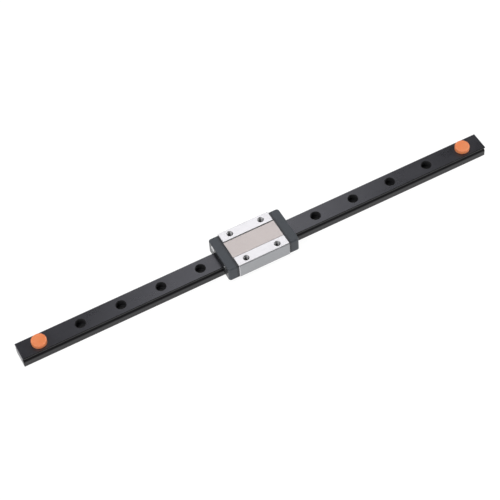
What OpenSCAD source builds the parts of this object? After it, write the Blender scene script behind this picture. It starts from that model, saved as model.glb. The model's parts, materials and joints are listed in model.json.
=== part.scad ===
// Miniature linear guide: a recirculating-ball carriage on a profile rail.
// X runs along the rail, Z is up, and the origin is at the middle of the rail's underside.
// "Front" is the +X end and "left" is the +Y side.

/* [Rail] */
// Length of the rail
rail_length = 300; // [150:25:600]
// Width of the rail at its head
rail_width = 12; // [11.5:0.1:12.4]
// Height of the rail
rail_height = 8; // [7.8:0.1:8.2]
// Spacing of the rail's screw holes
hole_pitch = 25; // [20:5:50]
// Radius of each screw hole through the rail
hole_r = 1.75; // [1.6:0.05:2]
// Radius of the counterbore for a screw head
counterbore_r = 3; // [2.8:0.1:3.2]
// Depth of the counterbore
counterbore_depth = 4.5; // [4:0.25:5]

/* [Carriage] */
// Position of the carriage's middle along the rail
carriage_x = -3; // [-40:1:40]
// Length of the steel block
block_length = 32.4; // [30:0.2:38]
// Width of the steel block
block_width = 27; // [26.6:0.1:28]
// Height of the carriage's top above the rail's underside
carriage_top = 13; // [13:0.1:14]
// Height of the carriage's underside
carriage_bottom = 3; // [2.6:0.1:3.4]
// Spacing of the tapped holes, the same along and across
bolt_spacing = 20; // [19:0.5:21]
// Radius of the tapped holes
bolt_hole_r = 1.25; // [1.2:0.05:1.5]
// Depth of the tapped holes
bolt_hole_depth = 3.5; // [3:0.1:3.8]
// Half the width of the lowered band along the middle of the top
band_half_width = 6.4; // [5:0.1:7]
// Depth of the lowered band
band_depth = 0.4; // [0.2:0.1:0.6]

/* [End caps] */
// Thickness of each return plate
return_plate_thickness = 1.3; // [1.3:0.1:1.6]
// Thickness of each end cap
end_cap_thickness = 5.2; // [5:0.1:7]
// Width of the end caps
end_cap_width = 26; // [25.8:0.1:26.4]
// How far the end caps stand below the block's top
end_cap_drop = 0.55; // [0.3:0.05:0.7]
// Radius of the end caps' upright corners
end_cap_corner_r = 1.5; // [1:0.1:2]
// Thickness of the end seals, which sit flush in the caps
seal_thickness = 1.2; // [1:0.1:1.3]
// Gap between a seal's lip and the rail
seal_gap = 0.1; // [0.05:0.05:0.3]

/* [Balls] */
// Diameter of a ball
ball_diameter = 2.381; // [2.3:0.001:2.4]
// Radius of the half circle in which the balls turn round
turn_r = 2.4; // [2.35:0.01:2.42]
// Height of both ball rows
row_z = 5.8; // [5.7:0.05:5.9]

/* [Plugs] */
// Diameter of a plug's head
plug_head_diameter = 8.8; // [7:0.1:9]
// Height of a plug's head above the rail
plug_head_height = 2.5; // [1.5:0.1:3]

/* [Hidden] */
$fn = 64;

front = 1;
rear = -1;
left = 1;
right = -1;
eps = 0.01;                                     // overlap that keeps cuts clean
far = 1;                                        // how far a cutter runs past a face

// Rail section
hole_count = floor(rail_length / hole_pitch);
first_hole_x = -(hole_count - 1) / 2 * hole_pitch;
rail_waist = 0.25;                              // how far the sides step in below the grooves
rail_top_chamfer = 0.3;
rail_foot_chamfer = 0.5;
rail_end_chamfer = 0.3;

// Ball track
groove_clearance = 0.06;                        // between a ball and the loaded grooves
track_clearance = 0.11;                         // between a ball and the rest of its track
row_offset = 0.25;                              // loaded row's middle line, outside the rail's side
turn_inset = 0.1;                               // straight run past the block before a turn starts
ball_gap = 0.12;                                // least free play between neighbouring balls
groove_r = ball_diameter / 2 + groove_clearance;
track_r = ball_diameter / 2 + track_clearance;
row_y = rail_width / 2 + row_offset;
return_y = row_y + 2 * turn_r;
turn_y = row_y + turn_r;
turn_x = block_length / 2 + turn_inset;
row_length = 2 * turn_x;
turn_length = PI * turn_r;
loop_length = 2 * (row_length + turn_length);
ball_count = floor(loop_length / (ball_diameter + ball_gap));
ball_pitch = loop_length / ball_count;

// Carriage section
tunnel_side_gap = 0.5;                          // between the tunnel's walls and the rail's sides
tunnel_top_gap = 1;                             // between the tunnel's roof and the rail's top
tunnel_half_width = rail_width / 2 + tunnel_side_gap;
tunnel_top = rail_height + tunnel_top_gap;
block_top_chamfer = 0.5;
block_foot_chamfer = 0.3;
block_end_chamfer = 0.4;
bolt_rim = 0.5;                                 // countersink round a tapped hole
cap_top = carriage_top - end_cap_drop;
cap_top_r = 1;
plate_x = block_length / 2;                     // inner face of a return plate
cap_x = plate_x + return_plate_thickness;       // inner face of an end cap
end_x = cap_x + end_cap_thickness;              // outer face of a cap and its seal
seal_x = end_x - seal_thickness;
seal_side_margin = 1.1;                         // cap left beside the seal
seal_top_margin = 0.6;                          // cap left above the seal
seal_half_width = end_cap_width / 2 - seal_side_margin;
seal_top = cap_top - seal_top_margin;
seal_corner_r = 1;

// Cap screws, M2 with a countersunk head
screw_side_offset = 1.4;                        // screw's axis, outside the rail's side
screw_rise = 2;                                 // screw's axis, above the rail's top
screw_y = rail_width / 2 + screw_side_offset;
screw_z = rail_height + screw_rise;
screw_r = 0.95;
screw_hole_r = 1;
screw_length = 12;
screw_head_r = 1.7;
screw_recess_depth = 0.8;
screw_recess_width = 0.45;
screw_recess_reach = 1.15;
tapped_run_out = 0.3;

// Lubrication
grease_port_r = 1;
grease_port_rise = 0.5;                         // port's axis, above the screws' axes
grease_groove = 0.6;                            // width and depth of the grooves
grease_leg_inset = 1.1;                         // upright groove, inside the return row
grease_port_z = screw_z + grease_port_rise;
grease_groove_z = grease_port_z + grease_port_r - grease_groove;
grease_leg_y = return_y - grease_leg_inset;

// Retaining wires
wire_r = 0.2;
wire_hole_r = 0.25;
wire_slot_r = 0.5;
wire_bend_r = 0.6;
wire_inset = 1.5;                               // wire's middle line, inside the loaded row
wire_overrun = 0.5;                             // bent leg's middle line, past the ball track
wire_leg_reach = 1.5;                           // length of a leg inside the cap
wire_y = row_y - wire_inset;
wire_end_x = turn_x + turn_r + track_r + wire_overrun;
wire_leg_end_y = tunnel_half_width + wire_leg_reach;

// Plugs
plug_fit = 0.06;                                // between a stem and its counterbore
plug_foot_gap = 0.3;                            // between a stem and the counterbore's floor
plug_edge_r = 0.6;
plug_lead_in = 0.4;
plug_stem_r = counterbore_r - plug_fit;
plug_stem_length = counterbore_depth - plug_foot_gap;

// A quarter of the section of a rounded bar: a square whose far corner has radius r
module rounded_corner_square(w, h, r) {
    square([w - r, h]);
    square([w, h - r]);
    translate([w - r, h - r]) circle(r = r);
}

// A rectangle from -w/2 to w/2 and from 0 to h, with its two top corners rounded
module arched_rectangle(w, h, r) {
    rounded_corner_square(w / 2, h, r);
    mirror([1, 0]) rounded_corner_square(w / 2, h, r);
}

// Turns a section drawn in the YZ plane into a bar from x0 to x1
module bar(x0, x1) {
    translate([x0, 0, 0])
        rotate([90, 0, 90])
            linear_extrude(height = x1 - x0) children();
}

// A closed outline from the points of its right half, and their mirror images on the left
module symmetric_outline(right_half) {
    last = len(right_half) - 1;
    polygon(concat(right_half, [for (i = [last : -1 : 0]) [-right_half[i][0], right_half[i][1]]]));
}

// The rail's outline, with its sides moved out by gap
module rail_outline(gap = 0) {
    head = rail_width / 2 + gap;
    waist = head - rail_waist;
    top = rail_height + gap;
    foot = -gap;
    difference() {
        symmetric_outline([
            [waist - rail_foot_chamfer, foot],
            [waist, foot + rail_foot_chamfer],
            [waist, row_z],
            [head, row_z],
            [head, top - rail_top_chamfer],
            [head - rail_top_chamfer, top]
        ]);
        for (side = [left, right])
            translate([side * row_y, row_z]) circle(r = groove_r - gap);
    }
}

// Material taken off the top edge at a rail end
module rail_end_cut(end) {
    translate([end * rail_length / 2, 0, rail_height])
        rotate([0, 45, 0])
            cube([
                rail_end_chamfer * sqrt(2),
                rail_width + 2 * far,
                rail_end_chamfer * sqrt(2)
            ], center = true);
}

module rail() {
    color([0.23, 0.23, 0.25]) difference() {
        bar(-rail_length / 2, rail_length / 2) rail_outline();
        for (side = [left, right])
            translate([-rail_length / 2 - far, side * wire_y, row_z])
                rotate([0, 90, 0])
                    cylinder(r = wire_slot_r, h = rail_length + 2 * far);
        for (i = [0 : hole_count - 1]) translate([first_hole_x + i * hole_pitch, 0, 0]) {
            translate([0, 0, -far]) cylinder(r = hole_r, h = rail_height + 2 * far);
            translate([0, 0, rail_height - counterbore_depth])
                cylinder(r = counterbore_r, h = counterbore_depth + far);
        }
        for (end = [front, rear]) rail_end_cut(end);
    }
}

// A push-in plug: a stem in the counterbore and a rounded head on the rail
module rail_plug(end) {
    color([0.9, 0.55, 0.36])
        translate([-end * first_hole_x, 0, rail_height]) {
            rotate_extrude() rounded_corner_square(
                plug_head_diameter / 2, plug_head_height, plug_edge_r);
            translate([0, 0, -plug_stem_length + plug_lead_in])
                cylinder(r = plug_stem_r, h = plug_stem_length - plug_lead_in + eps);
            translate([0, 0, -plug_stem_length])
                cylinder(r1 = plug_stem_r - plug_lead_in, r2 = plug_stem_r, h = plug_lead_in);
        }
}

// The block's outer section, with its lowered band
module block_outline() {
    half = block_width / 2;
    band_floor = carriage_top - band_depth;
    symmetric_outline([
        [half - block_foot_chamfer, carriage_bottom],
        [half, carriage_bottom + block_foot_chamfer],
        [half, carriage_top - block_top_chamfer],
        [half - block_top_chamfer, carriage_top],
        [band_half_width, carriage_top],
        [band_half_width, band_floor]
    ]);
}

// The space that the rail passes through, from x0 to x1
module rail_tunnel(x0, x1) {
    translate([x0, -tunnel_half_width, carriage_bottom - far])
        cube([x1 - x0, 2 * tunnel_half_width, tunnel_top - carriage_bottom + far]);
}

// One ball circuit on the given side, as a tube of radius r round its middle line
module ball_track(side, r) {
    for (y = [row_y, return_y])
        translate([-turn_x, side * y, row_z]) rotate([0, 90, 0]) cylinder(r = r, h = row_length);
    for (end = [front, rear])
        translate([end * turn_x, side * turn_y, row_z])
            rotate([0, 0, end > 0 ? -90 : 90])
                rotate_extrude(angle = 180) translate([turn_r, 0]) circle(r = r);
}

// One tapped hole in the block's top, with its countersunk rim
module tapped_hole() {
    translate([0, 0, -bolt_hole_depth]) cylinder(r = bolt_hole_r, h = bolt_hole_depth + far);
    translate([0, 0, -bolt_rim])
        cylinder(r1 = bolt_hole_r, r2 = bolt_hole_r + bolt_rim + far, h = bolt_rim + far);
}

// Material taken off an upright corner of the block
module block_corner_cut(end, side) {
    translate([end * block_length / 2, side * block_width / 2, (carriage_top + carriage_bottom) / 2])
        rotate([0, 0, 45])
            cube([
                block_end_chamfer * sqrt(2),
                block_end_chamfer * sqrt(2),
                carriage_top - carriage_bottom + 2 * far
            ], center = true);
}

module carriage_block() {
    color([0.78, 0.77, 0.77]) translate([carriage_x, 0, 0]) difference() {
        bar(-block_length / 2, block_length / 2) block_outline();
        rail_tunnel(-block_length / 2 - far, block_length / 2 + far);
        for (side = [left, right]) {
            translate([-block_length / 2 - far, side * row_y, row_z])
                rotate([0, 90, 0]) cylinder(r = groove_r, h = block_length + 2 * far);
            translate([-block_length / 2 - far, side * return_y, row_z])
                rotate([0, 90, 0]) cylinder(r = track_r, h = block_length + 2 * far);
            for (end = [front, rear]) {
                block_corner_cut(end, side);
                translate([end * bolt_spacing / 2, side * bolt_spacing / 2, carriage_top])
                    tapped_hole();
                translate([end * (end_x - screw_length - tapped_run_out), side * screw_y, screw_z])
                    rotate([0, end * 90, 0]) cylinder(r = screw_hole_r, h = screw_length);
            }
        }
    }
}

// The section of the end caps and return plates
module cap_outline() {
    translate([0, carriage_bottom])
        arched_rectangle(end_cap_width, cap_top - carriage_bottom, cap_top_r);
}

// Screw holes along both sides of an end, from x0 to x1
module screw_holes(x0, x1) {
    for (side = [left, right]) translate([x0, side * screw_y, screw_z])
        rotate([0, 90, 0]) cylinder(r = screw_hole_r, h = x1 - x0);
}

// Places a piece that is drawn for the front end
module at_end(end) {
    translate([carriage_x, 0, 0]) mirror([end > 0 ? 0 : 1, 0, 0]) children();
}

module return_plate(end) {
    color([0.2, 0.21, 0.22]) at_end(end) difference() {
        bar(plate_x, cap_x) cap_outline();
        rail_tunnel(plate_x - far, cap_x + far);
        for (side = [left, right]) ball_track(side, track_r);
        screw_holes(plate_x - far, cap_x + far);
    }
}

// The outline of an end seal, with its foot lowered by drop
module seal_outline(drop = 0) {
    translate([0, carriage_bottom - drop])
        arched_rectangle(2 * seal_half_width, seal_top - carriage_bottom + drop, seal_corner_r);
}

// The grease port, from x0 to x1
module grease_port(x0, x1) {
    translate([x0, 0, grease_port_z]) rotate([0, 90, 0]) cylinder(r = grease_port_r, h = x1 - x0);
}

// Grooves on the cap's inner face that lead from the grease port to both ball turns
module grease_grooves() {
    translate([cap_x - far, -grease_leg_y, grease_groove_z])
        cube([grease_groove + far, 2 * grease_leg_y, grease_groove]);
    for (side = [left, right])
        translate([cap_x - far, side * grease_leg_y - grease_groove / 2, row_z])
            cube([grease_groove + far, grease_groove, grease_groove_z + grease_groove - row_z]);
}

module end_cap(end) {
    color([0.2, 0.21, 0.22]) at_end(end) difference() {
        intersection() {
            bar(cap_x, end_x) cap_outline();
            rotate([0, 0, -90]) linear_extrude(height = 2 * carriage_top)
                arched_rectangle(end_cap_width, end_x, end_cap_corner_r);
        }
        rail_tunnel(cap_x - far, end_x + far);
        bar(seal_x, end_x + far) seal_outline(far);
        for (side = [left, right]) {
            ball_track(side, track_r);
            translate([wire_end_x, side * (tunnel_half_width - far), row_z])
                rotate([-side * 90, 0, 0])
                    cylinder(r = wire_hole_r, h = wire_leg_end_y - tunnel_half_width + far + wire_r);
        }
        screw_holes(cap_x - far, seal_x + far);
        grease_port(cap_x - far, seal_x + far);
        grease_grooves();
    }
}

module end_seal(end) {
    color([0.15, 0.15, 0.16]) at_end(end) difference() {
        bar(seal_x, end_x) difference() {
            seal_outline();
            rail_outline(seal_gap);
            translate([-rail_width / 2, carriage_bottom - far])
                square([rail_width, row_z - groove_r - carriage_bottom + far]);
        }
        screw_holes(seal_x - far, end_x + far);
        for (side = [left, right]) translate([end_x + eps, side * screw_y, screw_z])
            rotate([0, -90, 0])
                cylinder(r1 = screw_head_r + eps, r2 = screw_hole_r,
                    h = screw_head_r - screw_hole_r + eps);
        grease_port(seal_x - far, end_x + far);
    }
}

module cap_screw(end, side) {
    head_height = screw_head_r - screw_r;
    color([0.72, 0.72, 0.74]) at_end(end)
        translate([end_x, side * screw_y, screw_z]) rotate([0, -90, 0]) difference() {
            union() {
                cylinder(r1 = screw_head_r, r2 = screw_r, h = head_height);
                cylinder(r = screw_r, h = screw_length);
            }
            for (turn = [0, 90]) rotate([0, 0, turn + 45])
                translate([-screw_recess_reach, -screw_recess_width / 2, -far])
                    cube([2 * screw_recess_reach, screw_recess_width, screw_recess_depth + far]);
        }
}

// A spring wire along the rail side of the loaded balls, with both ends bent into the caps
module retaining_wire(side) {
    bend_x = wire_end_x - wire_bend_r;
    color([0.75, 0.75, 0.76]) translate([carriage_x, side * wire_y, row_z]) {
        translate([-bend_x, 0, 0]) rotate([0, 90, 0]) cylinder(r = wire_r, h = 2 * bend_x);
        for (end = [0, 1]) mirror([end, 0, 0]) mirror([0, side > 0 ? 0 : 1, 0]) {
            translate([bend_x, wire_bend_r, 0]) rotate([0, 0, -90])
                rotate_extrude(angle = 90) translate([wire_bend_r, 0]) circle(r = wire_r);
            translate([wire_end_x, wire_bend_r, 0])
                rotate([-90, 0, 0]) cylinder(r = wire_r, h = wire_leg_end_y - wire_y - wire_bend_r);
        }
    }
}

// Middle line of a circuit at distance s along it, which starts at the rear of the loaded row:
// the loaded row forwards, the front turn, the return row backwards, and the rear turn
function on_front_turn(s) = s >= row_length && s < row_length + turn_length;
function on_return_row(s) = s >= row_length + turn_length && s < 2 * row_length + turn_length;
function turn_angle(s, start) = (s - start) / turn_r * 180 / PI;
function track_point(s) =
    s < row_length ? [s - turn_x, row_y]
    : on_front_turn(s) ? [
        turn_x + turn_r * sin(turn_angle(s, row_length)),
        turn_y - turn_r * cos(turn_angle(s, row_length))]
    : on_return_row(s) ? [turn_x - (s - row_length - turn_length), return_y]
    : [
        -turn_x - turn_r * sin(turn_angle(s, 2 * row_length + turn_length)),
        turn_y + turn_r * cos(turn_angle(s, 2 * row_length + turn_length))];

// The balls of one circuit whose places lie between two distances along it
module balls(side, from, to) {
    color([0.8, 0.8, 0.82])
        for (i = [0 : ball_count - 1]) {
            s = (i + 0.5) * ball_pitch;
            if (s >= from && s < to) {
                p = track_point(s);
                translate([carriage_x + p[0], side * p[1], row_z]) sphere(r = ball_diameter / 2);
            }
        }
}

module loaded_balls(side) {
    balls(side, 0, row_length);
}

module front_turn_balls(side) {
    balls(side, row_length, row_length + turn_length);
}

module return_balls(side) {
    balls(side, row_length + turn_length, 2 * row_length + turn_length);
}

module rear_turn_balls(side) {
    balls(side, 2 * row_length + turn_length, loop_length);
}

rail();
rail_plug(front);  // front_rail_plug
rail_plug(rear);  // rear_rail_plug
carriage_block();
return_plate(front);  // front_return_plate
return_plate(rear);  // rear_return_plate
end_cap(front);  // front_end_cap
end_cap(rear);  // rear_end_cap
end_seal(front);  // front_end_seal
end_seal(rear);  // rear_end_seal
cap_screw(front, left);  // front_left_cap_screw
cap_screw(front, right);  // front_right_cap_screw
cap_screw(rear, left);  // rear_left_cap_screw
cap_screw(rear, right);  // rear_right_cap_screw
retaining_wire(left);  // left_retaining_wire
retaining_wire(right);  // right_retaining_wire
loaded_balls(left);  // left_loaded_balls
return_balls(left);  // left_return_balls
front_turn_balls(left);  // left_front_turn_balls
rear_turn_balls(left);  // left_rear_turn_balls
loaded_balls(right);  // right_loaded_balls
return_balls(right);  // right_return_balls
front_turn_balls(right);  // right_front_turn_balls
rear_turn_balls(right);  // right_rear_turn_balls
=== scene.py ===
"""Looks for a miniature linear guide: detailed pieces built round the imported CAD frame.

Shapes are drawn in millimetres in the CAD frame and shrunk to metres when they are finished.
X runs along the rail and Z is up. "Front" is the +X end and "left" is the +Y side.
"""

import json
import math

import bmesh
import bpy
from mathutils import Matrix, Vector


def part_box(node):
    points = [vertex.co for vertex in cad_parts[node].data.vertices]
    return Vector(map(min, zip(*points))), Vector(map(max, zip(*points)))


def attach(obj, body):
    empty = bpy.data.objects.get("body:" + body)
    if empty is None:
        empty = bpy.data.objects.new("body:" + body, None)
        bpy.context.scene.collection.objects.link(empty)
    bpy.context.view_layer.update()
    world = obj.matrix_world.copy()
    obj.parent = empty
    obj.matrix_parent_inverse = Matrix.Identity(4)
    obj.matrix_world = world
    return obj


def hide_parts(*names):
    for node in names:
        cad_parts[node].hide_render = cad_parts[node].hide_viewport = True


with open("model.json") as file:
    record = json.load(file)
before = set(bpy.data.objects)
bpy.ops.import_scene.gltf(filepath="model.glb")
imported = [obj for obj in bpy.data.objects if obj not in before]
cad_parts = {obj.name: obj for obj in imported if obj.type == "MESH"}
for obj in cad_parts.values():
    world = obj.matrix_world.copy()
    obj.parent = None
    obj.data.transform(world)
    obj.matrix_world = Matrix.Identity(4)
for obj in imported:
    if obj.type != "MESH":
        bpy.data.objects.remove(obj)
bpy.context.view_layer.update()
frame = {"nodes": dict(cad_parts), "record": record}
mounts = {mount["name"]: mount for mount in frame["record"]["mounts"]}

MM = 0.001
FRONT, REAR = 1, -1
LEFT, RIGHT = 1, -1
ENDS = (FRONT, REAR)
SIDES = (LEFT, RIGHT)
END_NAMES = {FRONT: "front", REAR: "rear"}
SIDE_NAMES = {LEFT: "left", RIGHT: "right"}
FINE_CIRCLE, MEDIUM_CIRCLE, COARSE_CIRCLE = 96, 64, 48      # sides of a round piece
PAST = 1.0                                                  # how far a cutter runs past a face


# ---------------------------------------------------------------- sizes, all in millimetres


def box_mm(node):
    """Lowest and highest corner of a CAD node."""
    low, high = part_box(node)
    return low / MM, high / MM


def position_mm(mount):
    """Where a mount of the record is."""
    return [value / MM for value in mounts[mount]["pos_m"]]


# Rail
rail_low, rail_high = box_mm("rail")
rail_half = rail_high.y
rail_top = rail_high.z
waist_step = 0.25                   # how far the sides step in below the grooves
rail_waist = rail_half - waist_step
rail_foot_chamfer = 0.5
rail_top_chamfer = 0.3
counterbore_floor = position_mm("rail_bolts_outer")[2]
counterbore_r = 3.0
rail_hole_r = mounts["rail_bolts_outer"]["dims"]["hole_r_mm"]
rail_hole_edge = 0.2                # chamfer round each end of a screw hole

# Plugs
plug_low, plug_high = box_mm("front_rail_plug")
plug_x = (plug_low.x + plug_high.x) / 2
plug_r = (plug_high.x - plug_low.x) / 2
hole_pitch = plug_x - mounts["rail_bolts_outer"]["dims"]["spacing_x_mm"] / 2

# Block
block_low, block_high = box_mm("carriage_block")
block_half = block_high.y
block_half_length = (block_high.x - block_low.x) / 2
middle_x = (block_low.x + block_high.x) / 2
top_z = block_high.z
foot_z = block_low.z
band_half = 6.4
band_depth = 0.4
band_floor = top_z - band_depth
relief_width = 0.3                  # relief groove along each edge of the band
tunnel_side_gap = 0.5               # between the tunnel's walls and the rail's sides
tunnel_top_gap = 1.0                # between the tunnel's roof and the rail's top
tunnel_half = rail_half + tunnel_side_gap
tunnel_top = rail_top + tunnel_top_gap
bolt_r = mounts["carriage_bolts"]["dims"]["hole_r_mm"]
bolt_reach = mounts["carriage_bolts"]["dims"]["spacing_x_mm"] / 2
bolt_depth = 3.5
bolt_mouth = 0.7                    # countersink round a tapped hole

# End caps and seals, with X from the carriage's middle
cap_low, cap_high = box_mm("front_end_cap")
cap_half = cap_high.y
cap_top = cap_high.z
plate_x = block_half_length
cap_x = cap_low.x - middle_x
end_x = cap_high.x - middle_x
seal_low, seal_high = box_mm("front_end_seal")
seal_x = seal_low.x - middle_x
seal_half = seal_high.y
seal_top = seal_high.z

# Cap screws and grease ports
screw_low, screw_high = box_mm("front_left_cap_screw")
screw_y = (screw_low.y + screw_high.y) / 2
screw_z = (screw_low.z + screw_high.z) / 2
screw_head_r = (screw_high.z - screw_low.z) / 2
screw_r = 0.95
screw_hole_r = 1.0
screw_length = screw_high.x - screw_low.x
grease_z = position_mm("front_grease_port")[2]
grease_r = mounts["front_grease_port"]["dims"]["r_mm"]

# Ball tracks and retaining wires
ball_low, ball_high = box_mm("left_loaded_balls")
ball_r = (ball_high.z - ball_low.z) / 2
row_y = (ball_low.y + ball_high.y) / 2
row_z = (ball_low.z + ball_high.z) / 2
return_low, return_high = box_mm("left_return_balls")
return_y = (return_low.y + return_high.y) / 2
turn_r = (return_y - row_y) / 2
turn_inset = 0.1                    # straight run past the block before a turn starts
turn_x = plate_x + turn_inset
groove_clearance = 0.06             # between a ball and the loaded grooves
groove_r = ball_r + groove_clearance
groove_rise = math.sqrt(groove_r**2 - (row_y - rail_waist) ** 2)
groove_edge = 0.08                  # broken edge along each lip of a groove
# The dark strip below each groove is painted shade, in the grooves' dark finish.
groove_shade_strip = 0.7                  # dark strip below each of the rail's grooves
track_clearance = 0.11              # between a ball and the rest of its track
track_r = ball_r + track_clearance
wire_inset = 1.5                    # wire's middle line, inside the loaded row
wire_y = row_y - wire_inset
wire_slot_r = 0.5


# ---------------------------------------------------------------- outlines, as lists of (y, z)


def arc(centre, radius, start, end, steps):
    """Points of an arc between two angles in degrees."""
    points = []
    for i in range(steps + 1):
        angle = math.radians(start + (end - start) * i / steps)
        points.append(Vector((centre[0] + radius * math.cos(angle), centre[1] + radius * math.sin(angle))))
    return points


def angle_of(vector):
    """A vector's direction in degrees."""
    return math.degrees(math.atan2(vector[1], vector[0]))


def rounded(corners):
    """A closed outline from (y, z, radius) corners, each with its fillet."""
    fillet_steps = 5
    outline = []
    for i, (y, z, radius) in enumerate(corners):
        here = Vector((y, z))
        before = (Vector(corners[i - 1][:2]) - here).normalized()
        after = (Vector(corners[(i + 1) % len(corners)][:2]) - here).normalized()
        half = before.angle(after) / 2
        reach = radius / math.tan(half)
        centre = here + (before + after).normalized() * radius / math.sin(half)
        start = angle_of(here + before * reach - centre)
        turn = (angle_of(here + after * reach - centre) - start + 180) % 360 - 180
        outline += arc(centre, radius, start, start + turn, fillet_steps)
    return outline


def symmetric(right_half):
    """A closed anticlockwise outline from its right half, which runs upwards."""
    points = [Vector(p) for p in right_half]
    return points + [Vector((-p[0], p[1])) for p in reversed(points)]


def inset(outline, distance):
    """An anticlockwise outline moved inwards, less than in full at its sharpest corners."""
    least_share = 0.4
    moved = []
    for i, here in enumerate(outline):
        before = (here - outline[i - 1]).normalized()
        after = (outline[(i + 1) % len(outline)] - here).normalized()
        normal = Vector((-before.y - after.y, before.x + after.x)).normalized()
        share = max(normal.dot(Vector((-before.y, before.x))), least_share)
        moved.append(here + normal * distance / share)
    return moved


def groove_arcs():
    """The groove in the rail's left side: two ball arcs and the wire slot between them."""
    high_rise = math.sqrt(groove_r**2 - (row_y - rail_half) ** 2)
    gap = row_y - wire_y
    reach = (groove_r**2 - wire_slot_r**2 + gap**2) / (2 * gap)
    rise = math.sqrt(groove_r**2 - reach**2)
    ball = (row_y, row_z)
    slot = (wire_y, row_z)
    slot_angle = angle_of((gap - reach, rise))
    inner_angle = angle_of((-reach, rise))
    low_angle = angle_of((rail_waist - row_y, groove_rise))
    high_angle = angle_of((rail_half - row_y, high_rise))
    trim = math.degrees(groove_edge / groove_r)
    return [
        (rail_waist, row_z - groove_rise - groove_edge),
        *arc(ball, groove_r, -low_angle - trim, -inner_angle, steps=8),
        *arc(slot, wire_slot_r, -slot_angle, slot_angle - 360, steps=14)[1:-1],
        *arc(ball, groove_r, inner_angle, high_angle + trim, steps=10),
        (rail_half, row_z + high_rise + groove_edge),
    ]


def rail_outline():
    """The rail's section: a head and a foot with the ball groove and wire slot between them.

    One more point below each groove marks how far the painted shade under the groove reaches down the
    side.
    """
    return symmetric([
        (rail_waist - rail_foot_chamfer, 0),
        (rail_waist, rail_foot_chamfer),
        (rail_waist, row_z - groove_rise - groove_shade_strip),
        *groove_arcs(),
        (rail_half, rail_top - rail_top_chamfer),
        (rail_half - rail_top_chamfer, rail_top),
    ])


def lip_outline(gap):
    """The rail's outline without its wire slots, moved out by a gap."""
    half = rail_half + gap
    reach = groove_r - gap
    rise = math.sqrt(reach**2 - (row_y - half) ** 2)
    angle = angle_of((half - row_y, rise))
    edge = 0.05
    chamfer = rail_top_chamfer + gap / 2
    return symmetric([
        (half, foot_z - PAST),
        (half, row_z - rise - edge),
        *arc((row_y, row_z), reach, -angle, angle - 360, steps=16),
        (half, row_z + rise + edge),
        (half, rail_top + gap - chamfer),
        (half - chamfer, rail_top + gap),
    ])


def block_outline():
    """The steel block's section: an upside-down U with a groove inside each leg."""
    edge = 0.5                      # chamfer along each upper outside edge
    foot = 0.3                      # chamfers round the feet and in the tunnel's upper corners
    soft = 0.12                     # broken edge of each ground strip
    relief = 0.12                   # how far the relief grooves go below the band
    trim = 4                        # degrees that the groove's lips take off each end of its arc
    rise = math.sqrt(groove_r**2 - (tunnel_half - row_y) ** 2)
    angle = angle_of((tunnel_half - row_y, rise))
    outside = [
        (block_half - foot, foot_z),
        (block_half, foot_z + foot),
        (block_half, top_z - edge),
        (block_half - edge, top_z),
        (band_half + soft, top_z),
        (band_half, top_z - soft),
        (band_half, band_floor - relief),
        (band_half - relief_width, band_floor - relief),
        (band_half - relief_width - relief, band_floor),
    ]
    inside = [
        (tunnel_half - foot, tunnel_top),
        (tunnel_half, tunnel_top - foot),
        (tunnel_half, row_z + rise + groove_edge),
        *arc((row_y, row_z), groove_r, angle - trim, trim - angle, steps=12),
        (tunnel_half, row_z - rise - groove_edge),
        (tunnel_half, foot_z + foot),
        (tunnel_half + foot, foot_z),
    ]
    mirrored_outside = [(-y, z) for y, z in reversed(outside)]
    mirrored_inside = [(-y, z) for y, z in reversed(inside)]
    return [Vector(p) for p in outside + mirrored_outside + mirrored_inside + inside]


def arch(half, foot, top, foot_r, top_r):
    """A rectangle of a half width, between two heights, with rounded corners."""
    return rounded([(half, foot, foot_r), (half, top, top_r), (-half, top, top_r), (-half, foot, foot_r)])


def cap_outline(side_inset=0.0, top_inset=0.0):
    """The section of an end cap, and of a return plate."""
    return arch(cap_half - side_inset, foot_z, cap_top - top_inset, foot_r=0.25, top_r=1.0)


def seal_outline(grow, foot):
    """The section of an end seal, grown at its sides and top, down to a foot."""
    return arch(seal_half + grow, foot, seal_top + grow, foot_r=0.2, top_r=1.0)


# ---------------------------------------------------------------- solids, in millimetres


def new_object(name, bm):
    """A mesh in the making as an object of the scene, with its faces turned outwards."""
    bmesh.ops.recalc_face_normals(bm, faces=bm.faces)
    mesh = bpy.data.meshes.new(name)
    bm.to_mesh(mesh)
    bm.free()
    obj = bpy.data.objects.new(name, mesh)
    bpy.context.scene.collection.objects.link(obj)
    return obj


def loft(name, loops, closed=False):
    """A skin over loops of points. It has a face over each end, or comes back to its start."""
    bm = bmesh.new()
    rings = [[bm.verts.new(point) for point in loop] for loop in loops]
    pairs = list(zip(rings, rings[1:]))
    if closed:
        pairs.append((rings[-1], rings[0]))
    for low, high in pairs:
        for i in range(len(low)):
            bm.faces.new((low[i - 1], low[i], high[i], high[i - 1]))
    if not closed:
        bm.faces.new(rings[0])
        bm.faces.new(rings[-1])
    return new_object(name, bm)


def edge_steps(radius, steps=3):
    """A rounded edge as (distance from the end, inset) pairs, from the end inwards."""
    angles = [math.pi / 2 * i / steps for i in range(steps + 1)]
    return [(radius * (1 - math.cos(a)), radius * (1 - math.sin(a))) for a in angles]


def bar(name, outline, x0, x1, edge=0.0, steps=3):
    """An outline drawn out along X, with its end edges rounded, or chamfered if steps is 1."""
    runs = edge_steps(edge, steps) if edge else [(0.0, 0.0)]
    stations = [(x0 + run, d) for run, d in runs] + [(x1 - run, d) for run, d in reversed(runs)]
    return loft(name, [[(x, p.x, p.y) for p in inset(outline, d)] for x, d in stations])


def toward(point, direction):
    """A frame at a point whose Z points in a direction."""
    return Matrix.Translation(point) @ Vector(direction).to_track_quat("Z", "Y").to_matrix().to_4x4()


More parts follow.
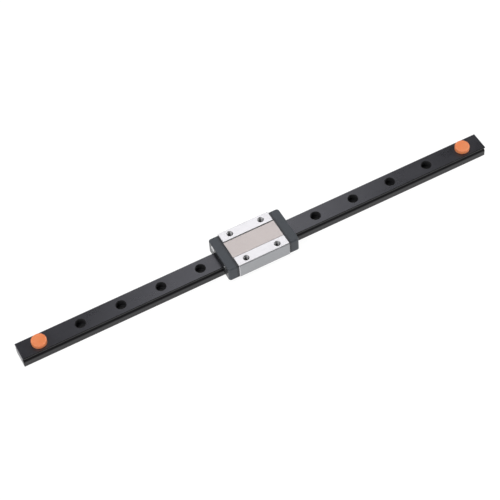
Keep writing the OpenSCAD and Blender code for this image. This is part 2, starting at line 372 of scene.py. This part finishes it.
def lathe(name, profile, place, sides=FINE_CIRCLE):
    """A solid of revolution from (radius, height) pairs that start and end on the axis."""
    bm = bmesh.new()
    turns = [2 * math.pi * i / sides for i in range(sides)]
    rings = []
    for radius, height in profile:
        if radius == 0:
            points = [(0, 0, height)]
        else:
            points = [(radius * math.cos(turn), radius * math.sin(turn), height) for turn in turns]
        rings.append([bm.verts.new(point) for point in points])
    for low, high in zip(rings, rings[1:]):
        for i in range(sides):
            places = ((low, i - 1), (low, i), (high, i), (high, i - 1))
            corners = [ring[j % len(ring)] for ring, j in places]
            bm.faces.new(dict.fromkeys(corners))    # each corner once, so a triangle at the axis
    bmesh.ops.transform(bm, matrix=place, verts=bm.verts)
    return new_object(name, bm)


def joined(objects):
    """Several solids as one object."""
    bm = bmesh.new()
    for obj in objects:
        bm.from_mesh(obj.data)
        bpy.data.objects.remove(obj)
    return new_object("joined", bm)


def combine(target, tools, operation="DIFFERENCE"):
    """Cuts tools out of a solid, adds them to it, or keeps what it shares with them.

    No two tools overlap.
    """
    tool = joined(tools)
    modifier = target.modifiers.new(operation, "BOOLEAN")
    modifier.operation = operation
    modifier.solver = "EXACT"
    modifier.object = tool
    bpy.context.view_layer.update()
    result = target.evaluated_get(bpy.context.evaluated_depsgraph_get())
    mesh = bpy.data.meshes.new_from_object(result)
    target.modifiers.clear()
    target.data = mesh
    bpy.data.objects.remove(tool)


def along_x(x, y, z):
    """A frame at a point whose Z points along +X."""
    return toward((x, y, z), (1, 0, 0))


def drill(radius, x0, x1, y, z, sides=FINE_CIRCLE):
    """A cylinder along X."""
    return lathe("drill", [(0, x0), (radius, x0), (radius, x1), (0, x1)], along_x(0, y, z), sides)


def screw_hole(x0, x1, side):
    """The hole of a cap screw."""
    return drill(screw_hole_r, x0, x1, side * screw_y, screw_z, COARSE_CIRCLE)


def tunnel_cutter(x0, x1):
    """The space that the rail passes through."""
    outline = arch(tunnel_half, foot_z - PAST, tunnel_top, foot_r=0.01, top_r=0.3)
    return bar("tunnel", outline, x0, x1)


def track_cutter(side):
    """The tube that the balls run round in, on one side of the carriage."""
    turn_steps = 8                  # in a quarter circle
    sides = 32
    stations = []
    for i in range(-turn_steps, turn_steps + 1):
        turn = math.radians(90 * i / turn_steps)
        stations.append((turn_x + turn_r * math.cos(turn), turn_r * math.sin(turn), turn))
    stations += [(-x, -y, turn + math.pi) for x, y, turn in stations]
    loops = []
    for x, y, turn in stations:
        loop = []
        for point in arc((0, 0), track_r, 0, 360 - 360 / sides, sides - 1):
            out_x = x + point.x * math.cos(turn)
            out_y = y + point.x * math.sin(turn)
            loop.append((middle_x + out_x, side * (row_y + turn_r + out_y), row_z + point.y))
        loops.append(loop)
    return loft("track", loops, closed=True)


def flip_to_end(obj, end):
    """Moves a piece that is drawn for the front end, with X from the carriage's middle, to its end."""
    place = Matrix.Translation((middle_x, 0, 0)) @ Matrix.Diagonal((end, 1, 1, 1))
    obj.data.transform(place)
    if end == REAR:
        obj.data.flip_normals()
    return obj


def threaded(name, root_r, crest_r, pitch, length, place, least_r=None):
    """A threaded rod from a place's origin along its -Z, no thinner than least_r(depth)."""
    rings_per_turn = 8
    sides = COARSE_CIRCLE
    count = math.ceil(length / pitch * rings_per_turn)
    loops = []
    for ring in range(count + 1):
        depth = length * ring / count
        loop = []
        for i in range(sides):
            phase = (depth / pitch + i / sides) % 1
            flank = 1 - abs(2 * phase - 1)
            radius = root_r + (crest_r - root_r) * flank
            if least_r:
                radius = max(radius, least_r(depth))
            angle = 2 * math.pi * i / sides
            loop.append((radius * math.cos(angle), radius * math.sin(angle), -depth))
        loops.append(loop)
    rod = loft(name, loops)
    rod.data.transform(place)
    return rod


# ---------------------------------------------------------------- finishes


def noise(tree, features_per_mm, detail=5.0):
    """Noise over a piece's own coordinates, with its middle range stretched to run from 0 to 1."""
    middle = (0.3, 0.7)
    coordinates = tree.nodes.new("ShaderNodeTexCoord")
    mapping = tree.nodes.new("ShaderNodeMapping")
    mapping.inputs["Scale"].default_value = [features / MM for features in features_per_mm]
    texture = tree.nodes.new("ShaderNodeTexNoise")
    texture.inputs["Scale"].default_value = 1.0
    texture.inputs["Detail"].default_value = detail
    tree.links.new(coordinates.outputs["Object"], mapping.inputs["Vector"])
    tree.links.new(mapping.outputs["Vector"], texture.inputs["Vector"])
    return spread(tree, texture.outputs["Fac"], middle, (0.0, 1.0))


def spread(tree, value, source, target):
    """A value mapped from one range to another, and held inside it."""
    node = tree.nodes.new("ShaderNodeMapRange")
    node.inputs["From Min"].default_value, node.inputs["From Max"].default_value = source
    node.inputs["To Min"].default_value, node.inputs["To Max"].default_value = target
    tree.links.new(value, node.inputs["Value"])
    return node.outputs["Result"]


def blend_colours(tree, factor, first, second):
    """A mix of two colours, each a value or another node's output."""
    node = tree.nodes.new("ShaderNodeMix")
    node.data_type = "RGBA"
    tree.links.new(factor, node.inputs["Factor"])
    for socket, colour in (("A", first), ("B", second)):
        target = next(s for s in node.inputs if s.name == socket and s.type == "RGBA")
        if isinstance(colour, bpy.types.NodeSocket):
            tree.links.new(colour, target)
        else:
            target.default_value = (*colour, 1.0)
    return next(s for s in node.outputs if s.type == "RGBA")


def combined(tree, operation, first, second):
    """The result of a sum or product, where each term is a value or another node's output."""
    node = tree.nodes.new("ShaderNodeMath")
    node.operation = operation
    for socket, value in zip(node.inputs, (first, second)):
        if isinstance(value, bpy.types.NodeSocket):
            tree.links.new(value, socket)
        else:
            socket.default_value = value
    return node.outputs["Value"]


def edge_mask(tree, radius_mm):
    """One where the surface turns sharply within a radius, and zero on flat stretches."""
    flat, sharp = 0.995, 0.85       # cosines of the turn
    bevel = tree.nodes.new("ShaderNodeBevel")
    bevel.samples = 6
    bevel.inputs["Radius"].default_value = radius_mm * MM
    geometry = tree.nodes.new("ShaderNodeNewGeometry")
    dot = tree.nodes.new("ShaderNodeVectorMath")
    dot.operation = "DOT_PRODUCT"
    tree.links.new(bevel.outputs["Normal"], dot.inputs[0])
    tree.links.new(geometry.outputs["Normal"], dot.inputs[1])
    return spread(tree, dot.outputs["Value"], (flat, sharp), (0.0, 1.0))


def make_finish(name, colours, roughness, grain, relief, worn_and_highlight_colour, wear_and_highlight, wear_and_highlight_radius=0.2, **fixed):
    """A surface whose colour, roughness and relief follow a grain, and whose edges are paler: rubbed on
    most finishes, and a painted highlight on the plugs and partly on the rail.

    The grain counts features per millimetre along X, Y and Z, and the relief and the paler edges' radius
    are in millimetres. Each pair of values is for the lows and highs of the grain. The fixed values go
    on the shader's own sockets.
    """
    broad_grain = (0.06, 0.12, 0.12)
    material = bpy.data.materials.new(name)
    material.use_nodes = True
    tree = material.node_tree
    shader = tree.nodes["Principled BSDF"]
    for socket, value in fixed.items():
        shader.inputs[socket.replace("_", " ").title().replace("Ior", "IOR")].default_value = value

    fine = noise(tree, grain)
    broad = noise(tree, broad_grain, detail=3.0)
    mottle = combined(tree, "MULTIPLY", combined(tree, "ADD", fine, broad), 0.5)
    colour = blend_colours(tree, mottle, *colours)
    edges = combined(tree, "MULTIPLY", edge_mask(tree, wear_and_highlight_radius), spread(tree, broad, (0, 1), wear_and_highlight))
    tree.links.new(blend_colours(tree, edges, colour, worn_and_highlight_colour), shader.inputs["Base Color"])
    tree.links.new(spread(tree, mottle, (0, 1), roughness), shader.inputs["Roughness"])

    bump = tree.nodes.new("ShaderNodeBump")
    bump.inputs["Distance"].default_value = relief * MM
    tree.links.new(fine, bump.inputs["Height"])
    tree.links.new(bump.outputs["Normal"], shader.inputs["Normal"])
    return material


def black_oxide():
    """Blackened steel with a fine lengthwise grain, a little brighter along its edges, partly rubbed and
    partly a painted highlight along the top's edges.
    """
    return make_finish(
        "black_oxide",
        colours=((0.008, 0.008, 0.010), (0.014, 0.014, 0.017)),
        roughness=(0.25, 0.36),
        grain=(0.5, 7.0, 7.0),
        relief=0.003,
        # The paler edges are partly rubbing and partly a painted highlight.
        worn_and_highlight_colour=(0.10, 0.10, 0.105),
        wear_and_highlight=(0.2, 0.8),
        ior=1.72,
        specular_tint=(0.90, 0.90, 1.0, 1.0),
    )


def side_black():
    """The rail's sides: the same black oxide, duller than on the top and darker as painted shade."""
    return make_finish(
        "side_black",
        colours=((0.008, 0.008, 0.009), (0.014, 0.014, 0.0155)),
        roughness=(0.30, 0.42),
        grain=(0.5, 7.0, 7.0),
        relief=0.003,
        worn_and_highlight_colour=(0.05, 0.05, 0.053),
        wear_and_highlight=(0.0, 0.3),
        ior=1.42,
    )


def groove_black():
    """The ball grooves and wire slots, dark with grease and darker still as painted shade. It also paints
    shade on the strips below the grooves and on the rail's top chamfers.
    """
    return make_finish(
        "groove_black",
        colours=((0.004, 0.004, 0.0045), (0.008, 0.008, 0.009)),
        roughness=(0.32, 0.45),
        grain=(0.5, 9.0, 9.0),
        relief=0.002,
        worn_and_highlight_colour=(0.02, 0.02, 0.021),
        wear_and_highlight=(0.0, 0.3),
        ior=1.28,
    )


def bore_black():
    """The unpolished walls and floors of the rail's screw holes, and their rims, kept dark as painted
    shade.
    """
    return make_finish(
        "bore_black",
        colours=((0.013, 0.013, 0.0145), (0.021, 0.021, 0.023)),
        roughness=(0.60, 0.75),
        grain=(5.0, 5.0, 3.0),
        relief=0.004,
        worn_and_highlight_colour=(0.03, 0.03, 0.032),
        wear_and_highlight=(0.1, 0.5),
        ior=1.32,
    )


def ground_steel():
    """The ground top strips: bright, with fine grinding lines along the carriage."""
    return make_finish(
        "ground_steel",
        colours=((0.62, 0.61, 0.635), (0.70, 0.69, 0.715)),
        roughness=(0.28, 0.40),
        grain=(0.25, 14.0, 14.0),
        relief=0.0015,
        worn_and_highlight_colour=(0.95, 0.95, 0.96),
        wear_and_highlight=(0.3, 0.8),
        metallic=1.0,
    )


def milled_steel():
    """The lowered band, which is left as it was milled: matt and a little warmer."""
    return make_finish(
        "milled_steel",
        colours=((0.59, 0.535, 0.525), (0.68, 0.62, 0.61)),
        roughness=(0.42, 0.58),
        grain=(6.0, 9.0, 9.0),
        relief=0.003,
        worn_and_highlight_colour=(0.85, 0.83, 0.82),
        wear_and_highlight=(0.2, 0.7),
        metallic=1.0,
    )


def thread_steel():
    """The walls of the tapped holes and the band's relief grooves: dull steel, darkened as painted shade
    in these hollows.
    """
    return make_finish(
        "thread_steel",
        colours=((0.20, 0.20, 0.205), (0.31, 0.31, 0.315)),
        roughness=(0.40, 0.55),
        grain=(4.0, 4.0, 9.0),
        relief=0.003,
        worn_and_highlight_colour=(0.34, 0.34, 0.345),
        wear_and_highlight=(0.1, 0.5),
        metallic=1.0,
    )


def side_steel():
    """The block's sides and inside: satin steel with a coarser lengthwise grain, darker than the top
    strips as painted shade.
    """
    return make_finish(
        "side_steel",
        colours=((0.31, 0.315, 0.325), (0.385, 0.39, 0.405)),
        roughness=(0.34, 0.48),
        grain=(0.3, 9.0, 9.0),
        relief=0.003,
        worn_and_highlight_colour=(0.90, 0.90, 0.91),
        wear_and_highlight=(0.4, 0.9),
        metallic=1.0,
    )


def cap_plastic():
    """Moulded black plastic with a fine spark-eroded grain."""
    return make_finish(
        "cap_plastic",
        colours=((0.050, 0.054, 0.061), (0.068, 0.073, 0.082)),
        roughness=(0.26, 0.36),
        grain=(8.0, 8.0, 8.0),
        relief=0.003,
        worn_and_highlight_colour=(0.10, 0.106, 0.114),
        wear_and_highlight=(0.0, 0.3),
        ior=1.27,
        specular_tint=(0.86, 0.95, 1.0, 1.0),
    )


def plate_plastic():
    """The return plates: the same plastic as the caps, matt, and a little darker as painted shade between
    the block and the caps.
    """
    return make_finish(
        "plate_plastic",
        colours=((0.040, 0.042, 0.047), (0.054, 0.057, 0.063)),
        roughness=(0.32, 0.44),
        grain=(8.0, 8.0, 8.0),
        relief=0.003,
        worn_and_highlight_colour=(0.07, 0.074, 0.08),
        wear_and_highlight=(0.0, 0.25),
        ior=1.27,
    )


def seal_rubber():
    """Smooth black nitrile rubber, bonded to the seal's plate."""
    return make_finish(
        "seal_rubber",
        colours=((0.020, 0.021, 0.022), (0.032, 0.034, 0.036)),
        roughness=(0.20, 0.32),
        grain=(5.0, 5.0, 5.0),
        relief=0.002,
        worn_and_highlight_colour=(0.06, 0.06, 0.062),
        wear_and_highlight=(0.0, 0.3),
        ior=1.33,
        specular_tint=(0.86, 0.95, 1.0, 1.0),
    )


def plug_plastic():
    """Soft orange plastic, slightly clouded, with a painted highlight that makes the edges of the head
    paler.
    """
    return make_finish(
        "plug_plastic",
        colours=((0.71, 0.210, 0.074), (0.77, 0.243, 0.090)),
        roughness=(0.36, 0.46),
        grain=(3.0, 3.0, 3.0),
        relief=0.004,
        # The pale edge colour is a painted highlight round the head's rim.
        worn_and_highlight_colour=(1.0, 0.62, 0.46),
        wear_and_highlight=(0.8, 1.0),
        wear_and_highlight_radius=0.5,
        ior=1.46,
        subsurface_weight=0.12,
        subsurface_scale=0.0008,
    )


def screw_steel():
    """Zinc-plated screws, bright with turning marks."""
    return make_finish(
        "screw_steel",
        colours=((0.56, 0.56, 0.575), (0.70, 0.70, 0.715)),
        roughness=(0.18, 0.32),
        grain=(9.0, 4.0, 4.0),
        relief=0.002,
        worn_and_highlight_colour=(0.92, 0.92, 0.93),
        wear_and_highlight=(0.4, 0.9),
        metallic=1.0,
    )


def ball_steel():
    """Polished bearing steel under a thin film of grease."""
    return make_finish(
        "ball_steel",
        colours=((0.72, 0.72, 0.74), (0.82, 0.82, 0.84)),
        roughness=(0.06, 0.14),
        grain=(1.5, 1.5, 1.5),
        relief=0.0005,
        worn_and_highlight_colour=(0.82, 0.82, 0.84),
        wear_and_highlight=(0.0, 0.2),
        metallic=1.0,
    )


def wire_steel():
    """Drawn spring wire, with lengthwise die marks."""
    return make_finish(
        "wire_steel",
        colours=((0.55, 0.55, 0.56), (0.70, 0.70, 0.71)),
        roughness=(0.22, 0.36),
        grain=(0.6, 20.0, 20.0),
        relief=0.0015,
        worn_and_highlight_colour=(0.75, 0.75, 0.76),
        wear_and_highlight=(0.0, 0.3),
        metallic=1.0,
    )


finishes = {
    "rail_steel": black_oxide(),
    "block_steel": ground_steel(),
    "cap_plastic": cap_plastic(),
    "seal_rubber": seal_rubber(),
    "plug_plastic": plug_plastic(),
    "screw_steel": screw_steel(),
    "ball_steel": ball_steel(),
    "wire_steel": wire_steel(),
}
MILLED = milled_steel()
# The finishes below are darker copies that carry painted shade.
SIDE_STEEL_SHADED = side_steel()
THREAD_STEEL_SHADED = thread_steel()
SIDE_BLACK_SHADED = side_black()
GROOVE_BLACK_AND_SHADE = groove_black()
BORE_BLACK_SHADED = bore_black()
PLATE_SHADED = plate_plastic()


# ---------------------------------------------------------------- pieces


node_body = {
    node: body for body, nodes in frame["record"]["behaviour"]["bodies"].items() for node in nodes
}
node_slot = {part["node"]: part["material_slot"] for part in frame["record"]["subparts"]}


def finish_piece(piece, node, materials=None):
    """Shrinks a piece to metres, gives it its finish and has it stand for its CAD node."""
    sharp_angle = math.radians(35)
    piece.name = node + "_piece"
    piece.data.transform(Matrix.Scale(MM, 4))
    slot = node_slot[node]
    piece.data.materials.clear()
    for material in materials or [finishes[slot]]:
        piece.data.materials.append(material)
    for face in piece.data.polygons:
        face.use_smooth = True
    piece.data.set_sharp_from_angle(angle=sharp_angle)
    weighted = piece.modifiers.new("weighted normals", "WEIGHTED_NORMAL")
    weighted.keep_sharp = True
    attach(piece, node_body[node])
    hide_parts(node)


def end_envelope(x0, x1, half, top, side_chamfer, top_chamfer):
    """A box whose end chamfers reach in by the given amounts at the sides and at the top."""
    chamfer = side_chamfer + top_chamfer
    right = half + top_chamfer
    outline = symmetric([(right, -PAST - chamfer), (right, top + side_chamfer)])
    return bar("envelope", outline, x0, x1, chamfer, steps=1)


def rail_hole_cutter(x):
    """A counterbored screw hole with chamfered ends and broken inner edges."""
    broken = 0.1
    profile = [
        (0, rail_top + PAST),
        (counterbore_r + rail_hole_edge + PAST, rail_top + PAST),
        (counterbore_r, rail_top - rail_hole_edge),
        (counterbore_r, counterbore_floor + broken),
        (counterbore_r - broken, counterbore_floor),
        (rail_hole_r + broken, counterbore_floor),
        (rail_hole_r, counterbore_floor - broken),
        (rail_hole_r, rail_hole_edge),
        (rail_hole_r + rail_hole_edge + PAST, -PAST),
        (0, -PAST),
    ]
    return lathe("hole", profile, Matrix.Translation((x, 0, 0)))


def paint_rail(rail):
    """A satin top and ends, duller sides darkened as painted shade, unpolished screw holes whose walls and
    rims carry painted shade, grooves dark with grease and painted shade, and painted shade on the strips
    below the grooves and on the top chamfers.
    """
    top, side, groove, bore = range(4)
    end_strip = 0.25                # holds the end faces and their chamfers
    slack = 0.01
    below_top = rail_top - slack
    slot_bottom = wire_y - wire_slot_r - slack
    # Low edge of the strip of painted shade below each groove.
    shade_strip_low = row_z - groove_rise - groove_shade_strip
    foot_edge = rail_waist - rail_foot_chamfer - slack
    for face in rail.data.polygons:
        x, y, z = face.center / MM
        from_hole = abs((x - plug_x + hole_pitch / 2) % hole_pitch - hole_pitch / 2)
        from_axis = math.hypot(from_hole, y)
        if z > below_top or abs(x) > rail_high.x - end_strip:
            face.material_index = top
        # Screw holes and their rims: painted shade.
        elif z > 0 and from_axis < counterbore_r + rail_hole_edge:
            face.material_index = bore
        # Grooves and the strips below them: grease in the grooves, and painted shade.
        elif shade_strip_low < z < row_z + groove_rise and abs(y) > slot_bottom:
            face.material_index = groove
        # Top chamfers: painted shade, in the grooves' dark finish.
        elif z > rail_top - rail_top_chamfer and face.normal.z > 0.5:
            face.material_index = groove
        # Sides: the darker copy of the black oxide, as painted shade.
        elif abs(y) > foot_edge:
            face.material_index = side
        else:
            face.material_index = top


def build_rail():
    """The rail, with chamfered ends and its row of counterbored screw holes."""
    rail = bar("rail", rail_outline(), rail_low.x, rail_high.x)
    envelope = end_envelope(
        rail_low.x, rail_high.x, rail_half, rail_top, side_chamfer=0.2, top_chamfer=0.3
    )
    combine(rail, [envelope], "INTERSECT")
    hole_count = round(2 * plug_x / hole_pitch) + 1
    combine(rail, [rail_hole_cutter(i * hole_pitch - plug_x) for i in range(hole_count)])
    finish_piece(rail, "rail", [finishes["rail_steel"], SIDE_BLACK_SHADED, GROOVE_BLACK_AND_SHADE, BORE_BLACK_SHADED])
    paint_rail(rail)


def build_plug(end):
    """A plug whose soft-edged head has a shallow dish inside a narrow rim."""
    stem_gap = 0.06                 # between the stem and its counterbore
    lead_in = 0.4
    under_edge = 0.1
    edge = 0.45
    rim = 0.15
    dish = 0.12
    foot = plug_low.z
    head = plug_high.z
    stem_r = counterbore_r - stem_gap
    profile = [
        (0, foot),
        (stem_r - lead_in, foot),
        (stem_r, foot + lead_in),
        (stem_r, rail_top),
        (plug_r - under_edge, rail_top),
        (plug_r, rail_top + under_edge),
        *arc((plug_r - edge, head - edge), edge, 0, 90, steps=6),
        (plug_r - edge - rim, head),
        (plug_r - edge - 3 * rim, head - dish),
        (0, head - dish),
    ]
    plug = lathe("plug", profile, Matrix.Translation((end * plug_x, 0, 0)))
    finish_piece(plug, END_NAMES[end] + "_rail_plug")


def bolt_cutter(end, side):
    """A tapped hole: a countersunk mouth over an M3 thread."""
    pitch = 0.5
    thread_depth = 0.27
    place = Matrix.Translation((middle_x + end * bolt_reach, side * bolt_reach, top_z + PAST))

    def mouth(depth):
        return bolt_r + bolt_mouth + PAST - depth

    return threaded("bolt", bolt_r, bolt_r + thread_depth, pitch, bolt_depth + PAST, place, mouth)


def paint_block(block):
    """Ground top strips and end chamfers, a milled band, and painted shade: dull holes and relief grooves,
    and satin sides darker than the top.
    """
    ground, milled, satin, dull = range(4)
    end_strip = 0.4                 # holds the end chamfers
    slack = 0.05
    mouth_r = bolt_r + bolt_mouth + 0.1
    relief_edge = band_half + 0.01
    roof_z = tunnel_top + 1.0       # inside the roof over the tunnel
    for face in block.data.polygons:
        x, y, z = face.center / MM
        from_bolt = math.hypot(abs(x - middle_x) - bolt_reach, abs(y) - bolt_reach)
        flat = face.normal.z > 0.99
        tilted = 0.5 < abs(face.normal.x) < 0.9
        end_chamfer = tilted and abs(x - middle_x) > block_half_length - end_strip
        if end_chamfer or (flat and z > top_z - slack):
            face.material_index = ground
        # Tapped holes: darkened as painted shade.
        elif from_bolt < mouth_r and z > top_z - bolt_depth - slack:
            face.material_index = dull
        elif flat and z > tunnel_top and abs(y) < band_half - relief_width:
            face.material_index = milled
        # Relief grooves and the band's steps: darkened as painted shade.
        elif abs(y) < relief_edge and z > roof_z:
            face.material_index = dull
        # Sides and inside: satin steel darkened as painted shade.
        else:
            face.material_index = satin


def build_block():
    """The steel block, with its tapped holes, return bores and holes for the cap screws."""
    run_out = 0.3                   # hole left past a screw's end
    block = bar("block", block_outline(), block_low.x, block_high.x)
    envelope = end_envelope(
        block_low.x, block_high.x, block_half, top_z, side_chamfer=0.25, top_chamfer=0.2
    )
    combine(block, [envelope], "INTERSECT")
    combine(block, [bolt_cutter(end, side) for end in ENDS for side in SIDES])
    low, high = block_low.x - PAST, block_high.x + PAST
    combine(block, [drill(track_r, low, high, side * return_y, row_z) for side in SIDES])
    hole_end = end_x - screw_length - run_out
    for end in ENDS:
        holes = [screw_hole(hole_end, plate_x + PAST, side) for side in SIDES]
        combine(block, [flip_to_end(hole, end) for hole in holes])
    finish_piece(block, "carriage_block", [finishes["block_steel"], MILLED, SIDE_STEEL_SHADED, THREAD_STEEL_SHADED])
    paint_block(block)


def build_return_plate(end):
    """The plate between the block and a cap, cut by the tunnel, the screws and the ball tracks."""
    low, high = plate_x - PAST, cap_x + PAST
    plate = bar("plate", cap_outline(), plate_x, cap_x, edge=0.12)
    combine(plate, [tunnel_cutter(low, high)])
    combine(plate, [screw_hole(low, high, side) for side in SIDES])
    flip_to_end(plate, end)
    combine(plate, [track_cutter(side) for side in SIDES])
    # The plate's darker finish is painted shade between the block and the cap.
    finish_piece(plate, END_NAMES[end] + "_return_plate", [PLATE_SHADED])


def cap_solid():
    """The cap's outside: upright outer corners, soft top edges and a small edge all round."""
    corner_r = 1.5
    corner_steps = 10
    edge = 0.3
    inner_edge = 0.12
    loops = []
    for run, d in edge_steps(inner_edge):
        loops.append([(cap_x + run, p.x, p.y) for p in cap_outline(d, d)])
    for i in range(corner_steps + 1):
        turn = math.radians(90 * i / corner_steps)
        x = end_x - corner_r + corner_r * math.sin(turn)
        over = min(edge, max(0.0, x - (end_x - edge)))
        top_inset = edge - math.sqrt(edge**2 - over**2)
        outline = cap_outline(corner_r * (1 - math.cos(turn)), top_inset)
        loops.append([(x, p.x, p.y) for p in outline])
    return loft("cap", loops)


def build_end_cap(end):
    """An end cap, with a pocket for its seal, and holes for its screws and its grease port."""
    pocket_gap = 0.03
    low, high = cap_x - PAST, end_x + PAST
    cap = cap_solid()
    combine(cap, [tunnel_cutter(low, high)])
    combine(cap, [bar("pocket", seal_outline(pocket_gap, foot_z - PAST), seal_x, high)])
    holes = [screw_hole(low, high, side) for side in SIDES]
    combine(cap, holes + [drill(grease_r, low, high, 0, grease_z, MEDIUM_CIRCLE)])
    flip_to_end(cap, end)
    combine(cap, [track_cutter(side) for side in SIDES])
    finish_piece(cap, END_NAMES[end] + "_end_cap")


def lip_step(x0, x1, reach, top_r):
    """A bar that stands out from the rail's sides and top by a reach."""
    outline = arch(rail_half + reach, foot_z - PAST, rail_top + reach, foot_r=0.01, top_r=top_r)
    return bar("lip_step", outline, x0, x1)


def seal_hole(radius, sink, y, z, sides=FINE_CIRCLE):
    """A hole through the seal, widened at 45 degrees over its outermost stretch."""
    profile = [
        (0, seal_x - PAST),
        (radius, seal_x - PAST),
        (radius, end_x - sink),
        (radius + sink + PAST, end_x + PAST),
        (0, end_x + PAST),
    ]
    return lathe("seal_hole", profile, along_x(0, y, z), sides)


def build_end_seal(end):
    """The seal's plate, with a grooved lip round the rail and countersinks for the cap screws."""
    lip_gap = 0.1
    groove_depth = 0.15
    head_gap = 0.05                 # between a screw's head and its countersink
    port_sink = 0.15
    seal = bar("seal", seal_outline(0.0, foot_z), seal_x, end_x, edge=0.1)
    combine(seal, [bar("lip", lip_outline(lip_gap), seal_x - PAST, end_x + PAST)])
    groove = lip_step(end_x - groove_depth, end_x + PAST, reach=0.6, top_r=0.6)
    ridge = lip_step(end_x - 2 * groove_depth, end_x + 2 * PAST, reach=0.35, top_r=0.4)
    combine(groove, [ridge])
    combine(seal, [groove])
    head_sink = screw_head_r + head_gap - screw_hole_r
    holes = [seal_hole(screw_hole_r, head_sink, side * screw_y, screw_z) for side in SIDES]
    combine(seal, holes + [seal_hole(grease_r, port_sink, 0, grease_z, MEDIUM_CIRCLE)])
    flip_to_end(seal, end)
    finish_piece(seal, END_NAMES[end] + "_end_seal")


def build_cap_screw(end, side):
    """A countersunk M2 screw with a cross recess and a real thread."""
    head = screw_head_r - screw_r
    land = 0.12                     # upright edge round the head
    land_edge = 0.05
    neck = 0.2
    root_r = 0.8
    crest_r = 0.97
    pitch = 0.4
    core_end = head + 0.7
    thread_start = head + 0.5
    recess_sections = ((-PAST, 1.3, 0.52), (0, 1.15, 0.45), (0.75, 0.55, 0.3))  # depth, reach, width
    place = along_x(end_x, side * screw_y, screw_z)
    profile = [
        (0, 0),
        (screw_head_r - land_edge, 0),
        (screw_head_r, -land_edge),
        (screw_head_r, -land),
        (screw_r, -head - land),
        (root_r, -head - land - neck),
        (root_r, -core_end),
        (0, -core_end),
    ]
    screw = lathe("screw", profile, place)
    for turn in (45, 135):
        loops = []
        for depth, reach, width in recess_sections:
            half = width / 2
            corners = ((reach, half), (-reach, half), (-reach, -half), (reach, -half))
            loops.append([(u, v, -depth) for u, v in corners])
        recess = loft("recess", loops)
        recess.data.transform(place @ Matrix.Rotation(math.radians(turn), 4, "Z"))
        combine(screw, [recess])
    shank = place @ Matrix.Translation((0, 0, -thread_start))
    thread = threaded("thread", root_r, crest_r, pitch, screw_length - thread_start, shank)
    combine(screw, [thread], "UNION")
    flip_to_end(screw, end)
    finish_piece(screw, f"{END_NAMES[end]}_{SIDE_NAMES[side]}_cap_screw")


def dress_cad_nodes():
    """Gives the CAD nodes that still show, the wires and balls, their finishes."""
    for node, piece in frame["nodes"].items():
        if piece.hide_render:
            continue
        for material_slot in piece.material_slots:
            material_slot.material = finishes[node_slot[node]]


build_rail()
build_block()
for end in ENDS:
    build_plug(end)
    build_return_plate(end)
    build_end_cap(end)
    build_end_seal(end)
    for side in SIDES:
        build_cap_screw(end, side)
dress_cad_nodes()


# ---------------------------------------------------------------- floor, light and camera


def make_floor():
    """A pale floor that glows a little, so that it stays near white under the soft light."""
    half_width = 3.0
    grey, roughness, glow = 0.12, 0.9, 0.92
    drop = 0.02 * MM                # keeps it just clear of the rail's underside
    bm = bmesh.new()
    bmesh.ops.create_grid(bm, x_segments=1, y_segments=1, size=half_width)
    floor = new_object("studio_floor", bm)
    material = bpy.data.materials.new("studio_floor")
    material.use_nodes = True
    shader = material.node_tree.nodes["Principled BSDF"]
    shader.inputs["Base Color"].default_value = (grey, grey, grey, 1)
    shader.inputs["Roughness"].default_value = roughness
    shader.inputs["Emission Color"].default_value = (1, 1, 1, 1)
    shader.inputs["Emission Strength"].default_value = glow
    floor.data.materials.append(material)
    floor.location.z = -drop


def make_world():
    """White studio walls under a dimmer ceiling."""
    wall, ceiling = 0.80, 0.13
    wall_top, ceiling_edge = 0.30, 0.62     # heights on a unit sphere
    world = bpy.data.worlds.new("studio")
    world.use_nodes = True
    tree = world.node_tree
    coordinates = tree.nodes.new("ShaderNodeTexCoord")
    axes = tree.nodes.new("ShaderNodeSeparateXYZ")
    tree.links.new(coordinates.outputs["Generated"], axes.inputs["Vector"])
    brightness = spread(tree, axes.outputs["Z"], (wall_top, ceiling_edge), (wall, ceiling))
    background = tree.nodes["Background"]
    background.inputs["Color"].default_value = (1, 1, 1, 1)
    tree.links.new(brightness, background.inputs["Strength"])
    bpy.context.scene.world = world
    bpy.context.scene.view_settings.view_transform = "Standard"


def make_lamp(name, place, width, height, power):
    """A soft rectangular lamp that faces the rail's middle."""
    data = bpy.data.lights.new(name, "AREA")
    data.shape = "RECTANGLE"
    data.size = width
    data.size_y = height
    data.energy = power
    lamp = bpy.data.objects.new(name, data)
    lamp.location = place
    lamp.rotation_mode = "QUATERNION"
    lamp.rotation_quaternion = Vector(place).to_track_quat("Z", "Y")
    bpy.context.scene.collection.objects.link(lamp)


def make_camera():
    """A long lens that looks down on the rail's right side, tilted a little on its own axis."""
    azimuth, elevation, roll = (math.radians(angle) for angle in (-24.0, 52.65, -5.17))
    distance, aside, above = 0.915, -0.0053, 0.0001
    back = Vector((
        math.sin(azimuth) * math.cos(elevation),
        -math.cos(azimuth) * math.cos(elevation),
        math.sin(elevation),
    ))
    level = Vector((math.cos(azimuth), math.sin(azimuth), 0))
    upright = back.cross(level)
    right = level * math.cos(roll) + upright * math.sin(roll)
    up = upright * math.cos(roll) - level * math.sin(roll)
    data = bpy.data.cameras.new("camera")
    data.lens = 114.2
    data.sensor_width = 36.0
    data.clip_start = 0.05
    data.clip_end = 20.0
    camera = bpy.data.objects.new("camera", data)
    rotation = Matrix((right, up, back)).transposed().to_4x4()
    camera.matrix_world = Matrix.Translation(back * distance + right * aside + up * above) @ rotation
    bpy.context.scene.collection.objects.link(camera)
    bpy.context.scene.camera = camera


make_floor()
make_world()
make_lamp("back_softbox", (0.19, 0.44, 0.64), width=0.24, height=0.7, power=0.96)
make_lamp("overhead_softbox", (0.0, -0.05, 1.0), width=0.6, height=0.6, power=0.7)
make_lamp("left_softbox", (-0.60, -0.10, 0.70), width=0.5, height=0.5, power=4.6)
make_lamp("right_softbox", (0.85, -0.10, 0.55), width=0.5, height=0.5, power=5.2)
make_camera()
